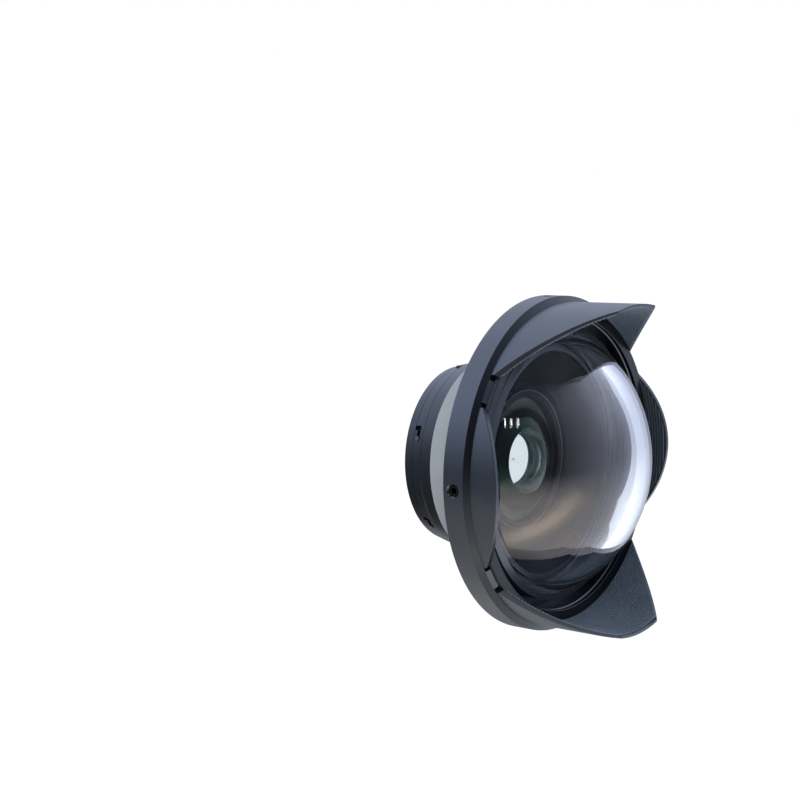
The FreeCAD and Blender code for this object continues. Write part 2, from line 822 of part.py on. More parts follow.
def hood_set_screw():
    """A cone-point set screw with a hexagon socket, pointing at the axis."""
    point_low = groove_floor_radius + point_gap
    cone_high = point_low + set_screw_radius - set_screw_point_radius
    top = hood_band_radius - set_screw_recess
    tip = radial_cone(set_screw_point_radius, set_screw_radius, point_low, cone_high,
                      screw_forward)
    shank = radial_cylinder(set_screw_radius, cone_high, top - set_screw_chamfer, screw_forward)
    crown = radial_cone(set_screw_radius, set_screw_radius - set_screw_chamfer,
                        top - set_screw_chamfer, top, screw_forward)
    corner = set_screw_hex / math.sqrt(3)
    ring = [FreeCAD.Vector(corner * math.cos(math.radians(60 * i)),
                           corner * math.sin(math.radians(60 * i)) - screw_forward,
                           top - set_screw_hex_depth) for i in range(7)]
    socket = Part.Face(Part.makePolygon(ring)).extrude(
        FreeCAD.Vector(0, 0, set_screw_hex_depth + cutter_margin))
    return tip.fuse([shank, crown]).removeSplitter().cut(socket)


def drilled_port_ring():
    return port_ring().cut(pin_holes(pin_radius))


def all_parts():
    parts = {
        "port_ring": drilled_port_ring(),
        "bayonet_pins": bayonet_pins(),
        "bayonet_collar": bayonet_collar(),
        "collar_screws": collar_screws(),
        "rear_barrel": rear_barrel(),
        "barrel_screws": barrel_screws(),
        "float_collar": float_collar(),
        "main_housing": main_housing(),
        "dome": dome(),
        "dome_seal": dome_seal(),
        "dome_retainer": dome_retainer(),
        "baffle_cone": baffle_cone(),
        "baffle_land_ring": land_ring(),
        "lens_cell": lens_cell(),
        "cell_seal": cell_seal(),
        "rear_lens": rear_lens(),
        "rear_lens_seal": rear_lens_seal(),
        "rear_lens_ring": rear_lens_ring(),
        "middle_lens": middle_lens(),
        "cell_spacer": cell_spacer(),
        "inner_lens": inner_lens(),
        "inner_lens_ring": inner_lens_ring(),
        "hood": hood(),
    }
    screw = hood_set_screw()
    for place, angle in (("top", 0), ("right", 90), ("bottom", 180), ("left", 270)):
        parts["hood_set_screw_" + place] = at_clock(screw, angle)
    return parts


os.makedirs("parts", exist_ok=True)
for name, shape in all_parts().items():
    shape.exportStep("parts/" + name + ".step")
    print(name, len(shape.Solids), shape.isValid(), round(shape.Volume / 1000, 2), "cm3")
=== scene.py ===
import math

import bmesh
import bpy
from bpy.props import FloatProperty, FloatVectorProperty, IntProperty, PointerProperty
from mathutils import Matrix, Vector


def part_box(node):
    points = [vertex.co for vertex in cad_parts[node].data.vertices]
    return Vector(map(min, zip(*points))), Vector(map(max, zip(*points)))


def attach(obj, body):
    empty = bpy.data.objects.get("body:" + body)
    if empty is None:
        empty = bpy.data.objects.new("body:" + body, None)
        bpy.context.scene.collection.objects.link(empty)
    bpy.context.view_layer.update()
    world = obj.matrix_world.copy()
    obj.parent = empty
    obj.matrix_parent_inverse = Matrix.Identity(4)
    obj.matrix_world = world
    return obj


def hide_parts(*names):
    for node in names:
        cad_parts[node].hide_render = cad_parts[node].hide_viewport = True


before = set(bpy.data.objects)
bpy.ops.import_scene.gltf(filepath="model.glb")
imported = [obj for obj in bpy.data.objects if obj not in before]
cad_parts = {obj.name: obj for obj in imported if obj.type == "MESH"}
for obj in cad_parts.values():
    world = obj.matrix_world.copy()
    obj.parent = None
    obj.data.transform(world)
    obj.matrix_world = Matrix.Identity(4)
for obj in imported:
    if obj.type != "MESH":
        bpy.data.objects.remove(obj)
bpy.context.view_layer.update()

bl_info = {
    "name": "Wide-angle wet lens",
    "version": (1, 0, 0),
    "blender": (4, 5, 0),
    "location": "3D View > Sidebar > Wet Lens",
    "description": "Dresses the packed wet lens with its glass, grooves, thread and finishes",
    "category": "Object",
}

MM = 0.001

HOOD_LOW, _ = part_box("hood")
DOME_LOW, DOME_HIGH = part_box("dome")
_, PORT_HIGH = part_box("port_ring")
PETAL_TIPS = -HOOD_LOW.y

# Closed profiles of (radius, forward) points in millimetres, turned round the optical axis
HOOD_RING_PROFILE = ((66.35, 60.7), (66.35, 62.4), (66.55, 62.6), (71.05, 62.6), (71.25, 62.4),
                     (71.25, 60.7))
SHOULDER_PROFILE = ((73.3, 57.4), (75.9, 57.4), (75.99, 57.53), (73.37, 59.51), (73.3, 59.51))
# The ring edge is a thin lighter band that paints the highlight on the ring's edge
RING_HIGHLIGHT_PROFILE = ((31.85, 38.2), (32.15, 38.2), (32.15, 38.42), (31.95, 38.5), (31.85, 38.4))
PAINT_PROFILE = ((13.38, 36.55), (25.24, 29.53), (30.37, 29.53), (30.37, 33.97), (28.55, 33.97),
                 (28.55, 33.94), (30.34, 33.94), (30.34, 29.56), (25.26, 29.56), (13.40, 36.58))

# Mesh clean-up: the distance below which vertices merge or an edge has no length
MERGE_DISTANCE = 1e-7
DEGENERATE_LENGTH = 1e-8
SAME_PLACE = 1e-6

# Segments along curves
DOME_STEPS = 72
THREAD_STEPS = 96
LARGE_PETAL_STEPS = 96
SMALL_PETAL_STEPS = 56
LARGE_BORDER_STEPS = 32
SMALL_BORDER_STEPS = 24
CORNER_SEGMENTS = 8

# Petal liners: how far the groove floors stand proud of the wall and the liner sinks into it,
# the height of the trimming prism, and one groove with its ridge as (share of the pitch,
# share of the depth) corners. The floor takes the first two half shares of each pitch.
LINER_PROUD = 0.02 * MM
LINER_SUNK = 0.25 * MM
CUTTER_HEIGHT = 100.0 * MM
GROOVE_SECTION = ((0.42, 0.0), (0.50, 1.0), (0.86, 1.0), (1.0, 0.0))
FLOOR_HALF_SHARE = 0.22

# Port thread: the spigot's radius, the ridge's turns, how deep its foot lies in the spigot, and
# where its four corners stand within one pitch
PORT_THREAD_RADIUS = 33.5 * MM
THREAD_TURNS = 5
THREAD_FOOT_DEPTH = 0.1 * MM
THREAD_CORNERS = (0.0, 0.42, 0.54, 0.96)

# Noise: where most of its values lie, and how much coarser the slow noises are
NOISE_RANGE = (0.3, 0.7)
MOTTLE_RANGE = (0.35, 0.65)
BAND_RANGE = (0.40, 0.60)
SLOW_BAND_SHARE = 0.06
SLOW_MOTTLE_SHARE = 0.012

# Colours inside the finishes, and the radii between which the paint gives way to bare glass
METAL_DUST = (0.30, 0.31, 0.33)
PLASTIC_DUST = (0.5, 0.5, 0.5)
SPACER_GREY = (0.50, 0.61, 0.63)
PAINT_BLACK = (0.030, 0.046, 0.050)
PAINT_GRAIN = (0.020, 0.030, 0.032)
BARE_LAND = (0.50, 0.63, 0.63)
BARE_LAND_EDGE = (20.5 * MM, 24.0 * MM)
BLACK = (0.0, 0.0, 0.0)
WHITE = (1.0, 1.0, 1.0)

# Camera: its place, and its directions backwards, to the right and to the left
CAMERA_PLACE = (-0.5758, -0.4240, 0.1266)
CAMERA_BACK = (-0.7745, -0.6171, 0.1392)
CAMERA_RIGHT = (0.6197, -0.7843, -0.0294)
CAMERA_LEFT = tuple(-part for part in CAMERA_RIGHT)

# Lamps: a soft panel above the camera, and three strips that leave window lights on the dome
PANEL_PLACE = (-1.1, -0.6, 0.45)
PANEL_TARGET = (0.0, -0.05, 0.0)
PANEL_SIDE = 1.2
STRIP_TARGET = (-0.050, -0.065, 0.0265)
STRIP_DIRECTIONS = (("strip_left", (-0.643, -0.481, 0.596)),
                    ("strip_middle", (-0.592, -0.546, 0.593)),
                    ("strip_right", (-0.532, -0.610, 0.587)))
STRIP_DISTANCE = 1.6
STRIP_WIDTH = 0.040
STRIP_HEIGHT = 0.16

# Floor: its radius and segments, its grey, and the glow that lifts it to the backdrop's white
FLOOR_RADIUS = 9.0
FLOOR_SEGMENTS = 96
FLOOR_GREY = (0.62, 0.62, 0.62)
FLOOR_ROUGHNESS = 0.9
FLOOR_GLOW = 1.18
FLOOR_GLOW_SHARE = 0.8

# The room that gloss and glass see. ROOM_LEVELS are (share of the way from behind the lens to
# the camera, level) stops, the two ends first. A ramp is (low, high, level at low, level at
# high). A zone multiplies ramps over components of the direction.
ROOM_LEVELS = ((0.0, 0.70), (1.0, 0.04), (0.14, 0.80), (0.38, 0.80), (0.50, 0.98), (0.62, 0.98),
               (0.76, 0.62), (0.84, 0.36), (0.90, 0.10), (0.95, 0.04))
ROOM_TOP_LEVEL = 2.0
ROOM_TINT = (0.80, 0.88, 1.12)
DARK_SIDE_HEIGHT = -0.16
DARK_SIDE_ACROSS = (0.45, 0.85, 0.0, 1.0)
DARK_SIDE_UPWARDS = (0.08, 0.40, 0.66, 0.0)
LIGHT_ABOVE = (("Z", 0.12, 0.50, 0.0, 1.1), ("Y", 0.10, 0.50, 0.0, 1.0),
               ("X", 0.30, 0.60, 1.0, 0.4))
LIGHT_AT_RIGHT = (("X", 0.40, 0.62, 0.0, 0.75), ("Z", 0.08, 0.40, 0.0, 1.0))
TOP_SHADE = (("Z", 0.62, 0.82, 0.0, 0.6),)
BEFORE_THE_LENS = (("Y", 0.0, 0.30, 1.0, 0.0),)
BELOW_THE_ROOM = (("Z", -0.10, -0.42, 0.0, 1.0),)
GROUND = (("Y", 0.30, -0.45, 0.95, 1.60), ("Z", -0.98, -0.90, 0.40, 1.0),
          ("X", 0.20, 0.50, 1.0, 0.75))
GROUND_SHADE = (("Y", 0.20, 0.50, 0.0, 1.0), ("X", 0.20, 0.70, 0.0, 0.62))
GROUND_REAR_SHADE = (("Y", 0.62, 0.76, 0.0, 0.93),)
GROUND_RIM = (("X", 0.72, 0.84, 0.0, 0.12), ("Y", -0.50, -0.30, 0.0, 1.0))
GROUND_TINT_CHANGE = (("X", 0.2, 0.7, 0.0, 1.0),)
GROUND_TINT_LEFT = (1.0, 0.98, 0.97)
GROUND_TINT_RIGHT = (1.10, 1.18, 1.34)
STREAK_PLANE = (0.792, 0.288, -0.538)
STREAK_MIDDLE = (-0.25, -0.67, -0.70)
STREAK_ACROSS = (0.0, 0.16, 1.0, 0.0)
STREAK_ALONG = (0.80, 1.0, 0.0, 1.0)
STREAK_COLOUR = (4.2, 3.7, 3.0)
PORT_WINDOW = (("Y", 0.70, 0.76, 0.0, 1.0),)
PORT_LIGHT = (0.90, 0.96, 1.0)
REAR_SHADE = (("Y", 0.70, 0.85, 0.0, 0.45),)


class LensSizes(bpy.types.PropertyGroup):
    """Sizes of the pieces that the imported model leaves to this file."""

    dome_edge_height: FloatProperty(
        name="Dome edge height", description="Straight edge of the dome above its seat",
        default=5.1 * MM, unit="LENGTH")
    dome_thickness: FloatProperty(
        name="Dome thickness", description="Thickness of the dome glass",
        default=7.0 * MM, unit="LENGTH")
    hood_face: FloatProperty(
        name="Hood face", description="Distance from the seat face to the hood's front face",
        default=60.8 * MM, unit="LENGTH")
    wall_radius: FloatProperty(
        name="Petal wall", description="Outer radius of the petal wall",
        default=73.35 * MM, unit="LENGTH")
    foot_thickness: FloatProperty(
        name="Petal foot thickness", description="Thickness of the petal wall at the hood's face",
        default=2.4 * MM, unit="LENGTH")
    tip_thickness: FloatProperty(
        name="Petal tip thickness", description="Thickness of the petal wall at the tips",
        default=1.2 * MM, unit="LENGTH")
    large_half_angle: FloatProperty(
        name="Large petal half angle", description="Half of a large petal's angle at its foot",
        default=math.radians(50.0), unit="ROTATION")
    large_tip: FloatProperty(
        name="Large petal tip", description="Half of a large petal's width at its tip",
        default=15.6 * MM, unit="LENGTH")
    large_side: FloatProperty(
        name="Large petal side", description="Radius of a large petal's side",
        default=165.0 * MM, unit="LENGTH")
    large_corner: FloatProperty(
        name="Large petal corner", description="Radius of a large petal's front corners",
        default=3.0 * MM, unit="LENGTH")
    small_half_angle: FloatProperty(
        name="Small petal half angle", description="Half of a small petal's angle at its foot",
        default=math.radians(27.9), unit="ROTATION")
    small_height: FloatProperty(
        name="Small petal height", description="Height of a small petal over the hood face",
        default=11.8 * MM, unit="LENGTH")
    large_pitch: FloatProperty(
        name="Large petal groove pitch", description="Distance between two grooves",
        default=1.1 * MM, unit="LENGTH")
    small_pitch: FloatProperty(
        name="Small petal groove pitch", description="Distance between two grooves",
        default=1.4 * MM, unit="LENGTH")
    groove_depth: FloatProperty(
        name="Groove depth", description="Depth of the anti-glare grooves",
        default=0.45 * MM, unit="LENGTH")
    groove_inset: FloatProperty(
        name="Groove inset", description="Plain border between the grooves and a petal's edge",
        default=0.7 * MM, unit="LENGTH")
    groove_start: FloatProperty(
        name="Groove start", description="Plain band between the hood's face and the first "
                                         "groove of a large petal",
        default=2.2 * MM, unit="LENGTH")
    thread_pitch: FloatProperty(
        name="Thread pitch", description="Pitch of the port thread",
        default=0.75 * MM, unit="LENGTH")
    thread_rise: FloatProperty(
        name="Thread rise", description="How far the thread's crest stands over the spigot",
        default=0.22 * MM, unit="LENGTH")
    round_steps: IntProperty(
        name="Steps round the axis", description="Segments of a full turn",
        default=192, min=24)


class LensColours(bpy.types.PropertyGroup):
    """Colours of the finishes."""

    anodised: FloatVectorProperty(
        name="Black anodising", description="Colour of the outer black parts",
        default=(0.006, 0.008, 0.011), subtype="COLOR", min=0.0, max=1.0)
    anodised_sheen: FloatVectorProperty(
        name="Black anodising sheen", description="Tint of the black parts' reflections",
        default=(0.76, 0.86, 1.0), subtype="COLOR", min=0.0, max=1.0)
    baffle: FloatVectorProperty(
        name="Baffle black", description="Colour of the matt black parts behind the dome",
        default=(0.011, 0.013, 0.016), subtype="COLOR", min=0.0, max=1.0)
    float_grey: FloatVectorProperty(
        name="Float grey", description="Colour of the float collar",
        default=(0.33, 0.365, 0.40), subtype="COLOR", min=0.0, max=1.0)
    dome_tint: FloatVectorProperty(
        name="Dome glass", description="Tint of the dome glass",
        default=(0.965, 0.975, 0.98), subtype="COLOR", min=0.0, max=1.0)
    dome_coat: FloatVectorProperty(
        name="Dome coating", description="Tint of the dome's reflections",
        default=(1.0, 0.95, 0.97), subtype="COLOR", min=0.0, max=1.0)
    element_tint: FloatVectorProperty(
        name="Element glass", description="Tint of the glass elements",
        default=(0.96, 0.985, 0.985), subtype="COLOR", min=0.0, max=1.0)
    element_coat: FloatVectorProperty(
        name="Element coating", description="Tint of the elements' reflections",
        default=(0.04, 0.22, 0.14), subtype="COLOR", min=0.0, max=1.0)
    rubber: FloatVectorProperty(
        name="Seal rubber", description="Colour of the seals",
        default=(0.016, 0.016, 0.017), subtype="COLOR", min=0.0, max=1.0)
    stainless: FloatVectorProperty(
        name="Stainless steel", description="Colour of the pins and hidden screws",
        default=(0.60, 0.59, 0.57), subtype="COLOR", min=0.0, max=1.0)
    black_steel: FloatVectorProperty(
        name="Black steel", description="Colour of the set screws",
        default=(0.020, 0.020, 0.021), subtype="COLOR", min=0.0, max=1.0)


class LensStage(bpy.types.PropertyGroup):
    """The camera, the lamps and the floor."""

    focal: FloatProperty(
        name="Focal length", description="Camera focal length on a 36 mm sensor",
        default=68.35, unit="CAMERA")
    floor_height: FloatProperty(
        name="Floor height", description="Height of the floor",
        default=-0.30, unit="LENGTH")
    sky_level: FloatProperty(
        name="Sky level", description="World strength for diffuse light", default=0.72, min=0.0)
    panel_level: FloatProperty(
        name="Panel level", description="Radiance of the panel above the camera", default=1.7,
        min=0.0)
    strip_level: FloatProperty(
        name="Strip level", description="Radiance of the three strip lamps", default=18.0,
        min=0.0)


def sizes():
    return bpy.context.scene.lens_sizes


def colours():
    return bpy.context.scene.lens_colours


def stage_values():
    return bpy.context.scene.lens_stage


# Meshes

def finish_mesh(bm, name, material, smooth_angle):
    """Merge doubles, point the faces outwards and make the object at the origin."""
    bmesh.ops.remove_doubles(bm, verts=bm.verts, dist=MERGE_DISTANCE)
    bmesh.ops.dissolve_degenerate(bm, edges=bm.edges, dist=DEGENERATE_LENGTH)
    bmesh.ops.recalc_face_normals(bm, faces=bm.faces)
    limit = math.radians(smooth_angle)
    for face in bm.faces:
        face.smooth = True
    for edge in bm.edges:
        edge.smooth = len(edge.link_faces) == 2 and edge.calc_face_angle(0.0) < limit
    mesh = bpy.data.meshes.new(name)
    bm.to_mesh(mesh)
    bm.free()
    piece = bpy.data.objects.new(name, mesh)
    bpy.context.scene.collection.objects.link(piece)
    mesh.materials.append(material)
    return piece


def profile_point(bm, radius, forward):
    """A vertex of a profile in the XY plane: radius from the axis, distance forward."""
    return bm.verts.new((radius, -forward, 0.0))


def join(bm, first, second):
    return bm.edges.new((first, second))


def swing(bm, vert, centre_forward, angle, steps):
    """Sweep a profile vertex along an arc about a centre on the optical axis."""
    made = bmesh.ops.spin(bm, geom=[vert], cent=(0.0, -centre_forward, 0.0), axis=(0, 0, 1),
                          dvec=(0, 0, 0), angle=angle, steps=steps, use_merge=False,
                          use_normal_flip=False, use_duplicate=False)
    return [item for item in made["geom_last"] if isinstance(item, bmesh.types.BMVert)][0]


def spin_round(bm, geom, angle, steps, climb=0.0, merge=False):
    """Spin a profile round the optical axis; climb moves it forward at every step."""
    bmesh.ops.spin(bm, geom=geom, cent=(0, 0, 0), axis=(0, 1, 0), dvec=(0, -climb, 0),
                   angle=angle, steps=steps, use_merge=merge, use_normal_flip=False,
                   use_duplicate=False)


def turn_round(bm, steps):
    """Spin every profile edge once round the optical axis."""
    spin_round(bm, bm.verts[:] + bm.edges[:], math.tau, steps, merge=True)


def place(piece, body):
    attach(piece, body)


def dome_mesh():
    """The meniscus glass, from its outer pole to its inner pole."""
    size = sizes()
    edge_radius = DOME_HIGH.x
    seat = -DOME_HIGH.y
    top = -DOME_LOW.y
    rise = top - (seat + size.dome_edge_height)
    outer = (edge_radius ** 2 + rise ** 2) / (2 * rise)
    centre = top - outer
    inner = outer - size.dome_thickness
    outer_angle = math.asin(edge_radius / outer)
    inner_angle = math.acos((seat - centre) / inner)
    bm = bmesh.new()
    outer_pole = profile_point(bm, 0.0, top)
    outer_end = swing(bm, outer_pole, centre, outer_angle, DOME_STEPS)
    low_corner = profile_point(bm, edge_radius, seat)
    join(bm, outer_end, low_corner)
    inner_pole = profile_point(bm, 0.0, centre + inner)
    inner_end = swing(bm, inner_pole, centre, inner_angle, DOME_STEPS)
    join(bm, low_corner, inner_end)
    turn_round(bm, size.round_steps)
    return bm


def arc_points(start, end, radius, steps):
    """Points of the arc from start to end that bulges to the right of the chord."""
    start, end = Vector(start), Vector(end)
    chord = end - start
    side = Vector((chord.y, -chord.x)).normalized()
    centre = (start + end) / 2 - side * math.sqrt(radius ** 2 - chord.length_squared / 4)
    first = start - centre
    turn = first.angle_signed(end - centre)
    return [centre + first @ Matrix.Rotation(turn * i / steps, 2) for i in range(steps + 1)]


def petal_cutter(name, border, low_forward, tip_forward, corner):
    """A prism above the axis, with a petal's outline on both sides."""
    bm = bmesh.new()
    right = [p for p in border if low_forward < p.y < tip_forward]
    outline = [(right[0].x, low_forward)] + [(p.x, p.y) for p in right]
    if corner:
        outline.append((right[-1].x, tip_forward))
    left = [(-x, y) for x, y in reversed(outline)]
    face = bm.faces.new([bm.verts.new((x, -y, 0.0)) for x, y in outline + left])
    raised = bmesh.ops.extrude_face_region(bm, geom=[face])
    top = [item for item in raised["geom"] if isinstance(item, bmesh.types.BMVert)]
    bmesh.ops.translate(bm, verts=top, vec=(0, 0, CUTTER_HEIGHT))
    if corner:
        tips = [edge for edge in bm.edges
                if abs(edge.verts[0].co.y + tip_forward) < SAME_PLACE
                and abs(edge.verts[1].co.y + tip_forward) < SAME_PLACE
                and abs(edge.verts[0].co.x - edge.verts[1].co.x) < SAME_PLACE]
        bmesh.ops.bevel(bm, geom=tips, offset=corner, offset_type="OFFSET",
                        segments=CORNER_SEGMENTS, profile=0.5, affect="EDGES", material=-1)
    bmesh.ops.recalc_face_normals(bm, faces=bm.faces)
    mesh = bpy.data.meshes.new(name)
    bm.to_mesh(mesh)
    bm.free()
    return bpy.data.objects.new(name, mesh)


def petal_wall(forward):
    """Inner radius of the petal wall, which thins evenly from the foot to the tips."""
    size = sizes()
    share = (forward - size.hood_face) / (PETAL_TIPS - size.hood_face)
    thickness = size.foot_thickness + share * (size.tip_thickness - size.foot_thickness)
    return size.wall_radius - thickness


def ribbed_shell(rear, front, pitch, half_angle, steps):
    """A part turn of a wall whose inner face carries grooves round the axis."""
    depth = sizes().groove_depth
    bm = bmesh.new()
    first = profile_point(bm, petal_wall(rear) + LINER_SUNK, rear)
    last = profile_point(bm, petal_wall(rear) - LINER_PROUD, rear)
    join(bm, first, last)
    count = int((front - rear) / pitch)
    for index in range(count):
        for share, height in GROOVE_SECTION:
            forward = rear + (index + share) * pitch
            radius = petal_wall(forward) - LINER_PROUD - height * depth
            fresh = profile_point(bm, radius, forward)
            join(bm, last, fresh)
            last = fresh
    far = rear + count * pitch
    end = profile_point(bm, petal_wall(far) + LINER_SUNK, far)
    join(bm, last, end)
    join(bm, end, first)
    face = bmesh.ops.contextual_create(bm, geom=bm.edges[:])["faces"][0]
    bmesh.ops.rotate(bm, verts=bm.verts, cent=(0, 0, 0),
                     matrix=Matrix.Rotation(-math.pi / 2 - half_angle, 3, "Y"))
    spin_round(bm, [face] + bm.edges[:] + bm.verts[:], 2 * half_angle, steps)
    return bm


def grooved_liner(name, clock, border, low, tip, corner, pitch, half_angle, steps, material):
    """The grooved inner face of one petal, trimmed to the petal's outline."""
    bm = ribbed_shell(low, tip, pitch, half_angle, steps)
    liner = finish_mesh(bm, name, material, smooth_angle=20.0)
    cutter = petal_cutter(name + "_outline", border, low, tip, corner)
    bpy.context.scene.collection.objects.link(cutter)
    trim = liner.modifiers.new("trim to the petal", "BOOLEAN")
    trim.operation = "INTERSECT"
    trim.solver = "EXACT"
    trim.object = cutter
    bpy.context.view_layer.update()
    evaluated = liner.evaluated_get(bpy.context.evaluated_depsgraph_get())
    trimmed = bpy.data.meshes.new_from_object(evaluated)
    liner.modifiers.clear()
    liner.data = trimmed
    bpy.data.objects.remove(cutter)
    trimmed.transform(Matrix.Rotation(clock, 4, "Y"))
    trimmed.name = name
    place(liner, "hood")


def turned_strip(points):
    """A closed profile of (radius, forward) points in millimetres, turned round the axis."""
    bm = bmesh.new()
    verts = [profile_point(bm, radius * MM, forward * MM) for radius, forward in points]
    for first, second in zip(verts, verts[1:] + verts[:1]):
        join(bm, first, second)
    turn_round(bm, sizes().round_steps)
    return bm


def thread_mesh():
    """The port thread: a ridge swept round the spigot as it moves forward from its end."""
    size = sizes()
    pitch = size.thread_pitch
    start = pitch - PORT_HIGH.y
    foot = PORT_THREAD_RADIUS - THREAD_FOOT_DEPTH
    crest = PORT_THREAD_RADIUS + size.thread_rise
    bm = bmesh.new()
    corners = [profile_point(bm, radius, start + share * pitch)
               for radius, share in zip((foot, crest, crest, foot), THREAD_CORNERS)]
    face = bm.faces.new(corners)
    spin_round(bm, [face] + bm.edges[:] + bm.verts[:], math.tau * THREAD_TURNS,
               THREAD_STEPS * THREAD_TURNS, climb=pitch / THREAD_STEPS)
    return bm


# Node groups and materials

def link(tree, source, target):
    tree.links.new(source, target)


def feed(tree, value, socket):
    """Link an output to a socket, or set a plain number, vector or colour on it."""
    if hasattr(value, "is_output"):
        link(tree, value, socket)
    elif socket.type == "RGBA":
        socket.default_value = (*value, 1.0)
    else:
        socket.default_value = value


def math_node(tree, operation, first, second=None, clamp=False):
    node = tree.nodes.new("ShaderNodeMath")
    node.operation = operation
    node.use_clamp = clamp
    feed(tree, first, node.inputs[0])
    if second is not None:
        feed(tree, second, node.inputs[1])
    return node.outputs[0]


def group_with(name, inputs, outputs):
    """An empty shader node group with named float sockets."""
    tree = bpy.data.node_groups.new(name, "ShaderNodeTree")
    for label, default in inputs:
        socket = tree.interface.new_socket(name=label, in_out="INPUT",
                                           socket_type="NodeSocketFloat")
        socket.default_value = default
    for label in outputs:
        tree.interface.new_socket(name=label, in_out="OUTPUT", socket_type="NodeSocketFloat")
    return tree, tree.nodes.new("NodeGroupInput"), tree.nodes.new("NodeGroupOutput")


def noise(tree, vector, scale, detail, roughness=0.5):
    node = tree.nodes.new("ShaderNodeTexNoise")
    node.inputs["Detail"].default_value = detail
    node.inputs["Roughness"].default_value = roughness
    link(tree, scale, node.inputs["Scale"])
    link(tree, vector, node.inputs["Vector"])
    return node.outputs["Fac"]


def object_place(tree):
    return tree.nodes.new("ShaderNodeTexCoord").outputs["Object"]


def components(tree, vector):
    """The X, Y and Z outputs of a vector."""
    node = tree.nodes.new("ShaderNodeSeparateXYZ")
    link(tree, vector, node.inputs[0])
    return node.outputs


def radius_from_axis(tree, parts):
    across = math_node(tree, "POWER", parts["X"], 2.0)
    height = math_node(tree, "POWER", parts["Z"], 2.0)
    return math_node(tree, "SQRT", math_node(tree, "ADD", across, height))


def turning_lines_group():
    """Fine lines left by turning on a lathe: noise that only knows radius and depth."""
    tree, given, out = group_with("turning_lines", [("Lines per metre", 2500.0)],
                                  ["Line", "Band"])
    parts = components(tree, object_place(tree))
    flat = tree.nodes.new("ShaderNodeCombineXYZ")
    link(tree, radius_from_axis(tree, parts), flat.inputs["X"])
    link(tree, parts["Y"], flat.inputs["Y"])
    link(tree, noise(tree, flat.outputs[0], given.outputs[0], 3.0), out.inputs["Line"])
    slow = math_node(tree, "MULTIPLY", given.outputs[0], SLOW_BAND_SHARE)
    link(tree, noise(tree, flat.outputs[0], slow, 2.0), out.inputs["Band"])


def blasted_grain_group():
    """The small grain of bead-blasted metal or moulded foam, with slow mottling."""
    tree, given, out = group_with("blasted_grain", [("Grains per metre", 5000.0)],
                                  ["Grain", "Mottle"])
    point = object_place(tree)
    link(tree, noise(tree, point, given.outputs[0], 3.0, roughness=0.6), out.inputs["Grain"])
    slow = math_node(tree, "MULTIPLY", given.outputs[0], SLOW_MOTTLE_SHARE)
    link(tree, noise(tree, point, slow, 4.0), out.inputs["Mottle"])


def dust_group():
    """Sparse specks of dust: the small middles of scattered cells."""
    tree, given, out = group_with("dust_specks", [("Cells per metre", 260.0), ("Size", 0.07)],
                                  ["Speck"])
    cells = tree.nodes.new("ShaderNodeTexVoronoi")
    link(tree, object_place(tree), cells.inputs["Vector"])
    link(tree, given.outputs["Cells per metre"], cells.inputs["Scale"])
    edge = math_node(tree, "DIVIDE", cells.outputs["Distance"], given.outputs["Size"])
    link(tree, math_node(tree, "SUBTRACT", 1.0, edge, clamp=True), out.inputs["Speck"])


def add_group(tree, name, **values):
    node = tree.nodes.new("ShaderNodeGroup")
    node.node_tree = bpy.data.node_groups[name]
    for label, value in values.items():
        node.inputs[label.replace("_", " ")].default_value = value
    return node.outputs


def ramp(tree, value, low, high, low_out, high_out):
    """A straight ramp from one level to another, level outside its two ends."""
    node = tree.nodes.new("ShaderNodeMapRange")
    link(tree, value, node.inputs["Value"])
    for label, number in (("From Min", low), ("From Max", high), ("To Min", low_out),
                          ("To Max", high_out)):
        node.inputs[label].default_value = number
    return node.outputs["Result"]


def mix_colour(tree, share, first, second):
    node = tree.nodes.new("ShaderNodeMix")
    node.data_type = "RGBA"
    link(tree, share, node.inputs["Factor"])
    feed(tree, first, node.inputs[6])
    feed(tree, second, node.inputs[7])
    return node.outputs[2]


def shaded(colour, factor):
    return tuple(min(1.0, channel * factor) for channel in colour)


def new_material(name):
    """Make a material, and give its node tree and its Principled shader."""
    material = bpy.data.materials.new(name)
    material.use_nodes = True
    tree = material.node_tree
    return tree, tree.nodes["Principled BSDF"]


def bump_into(tree, shader, height, distance):
    node = tree.nodes.new("ShaderNodeBump")
    node.inputs["Strength"].default_value = 1.0
    node.inputs["Distance"].default_value = distance
    link(tree, height, node.inputs["Height"])
    link(tree, node.outputs["Normal"], shader.inputs["Normal"])


def anodised_material(name, colour, sheen, index, rough, bump, dust=0.35):
    """Dyed anodised aluminium: turned lines, fine grain, slow mottling and a little dust."""
    tree, shader = new_material(name)
    lines = add_group(tree, "turning_lines", Lines_per_metre=2600.0)
    grain = add_group(tree, "blasted_grain", Grains_per_metre=5200.0)
    specks = add_group(tree, "dust_specks", Cells_per_metre=300.0, Size=0.06)
    tone = mix_colour(tree, ramp(tree, grain["Mottle"], *MOTTLE_RANGE, 0.0, 1.0),
                      shaded(colour, 0.85), shaded(colour, 1.12))
    tone = mix_colour(tree, ramp(tree, lines["Band"], *BAND_RANGE, 0.0, 0.5), tone,
                      shaded(colour, 1.2))
    tone = mix_colour(tree, math_node(tree, "MULTIPLY", specks["Speck"], dust), tone, METAL_DUST)
    link(tree, tone, shader.inputs["Base Color"])
    worn = math_node(tree, "ADD", math_node(tree, "MULTIPLY", lines["Line"], 0.5),
                     math_node(tree, "MULTIPLY", grain["Mottle"], 0.5))
    link(tree, ramp(tree, worn, *NOISE_RANGE, *rough), shader.inputs["Roughness"])
    if bump:
        height = math_node(tree, "ADD", math_node(tree, "MULTIPLY", lines["Line"], 0.6),
                           math_node(tree, "MULTIPLY", grain["Grain"], 0.4))
        bump_into(tree, shader, height, bump)
    shader.inputs["IOR"].default_value = index
    shader.inputs["Specular Tint"].default_value = (*sheen, 1.0)


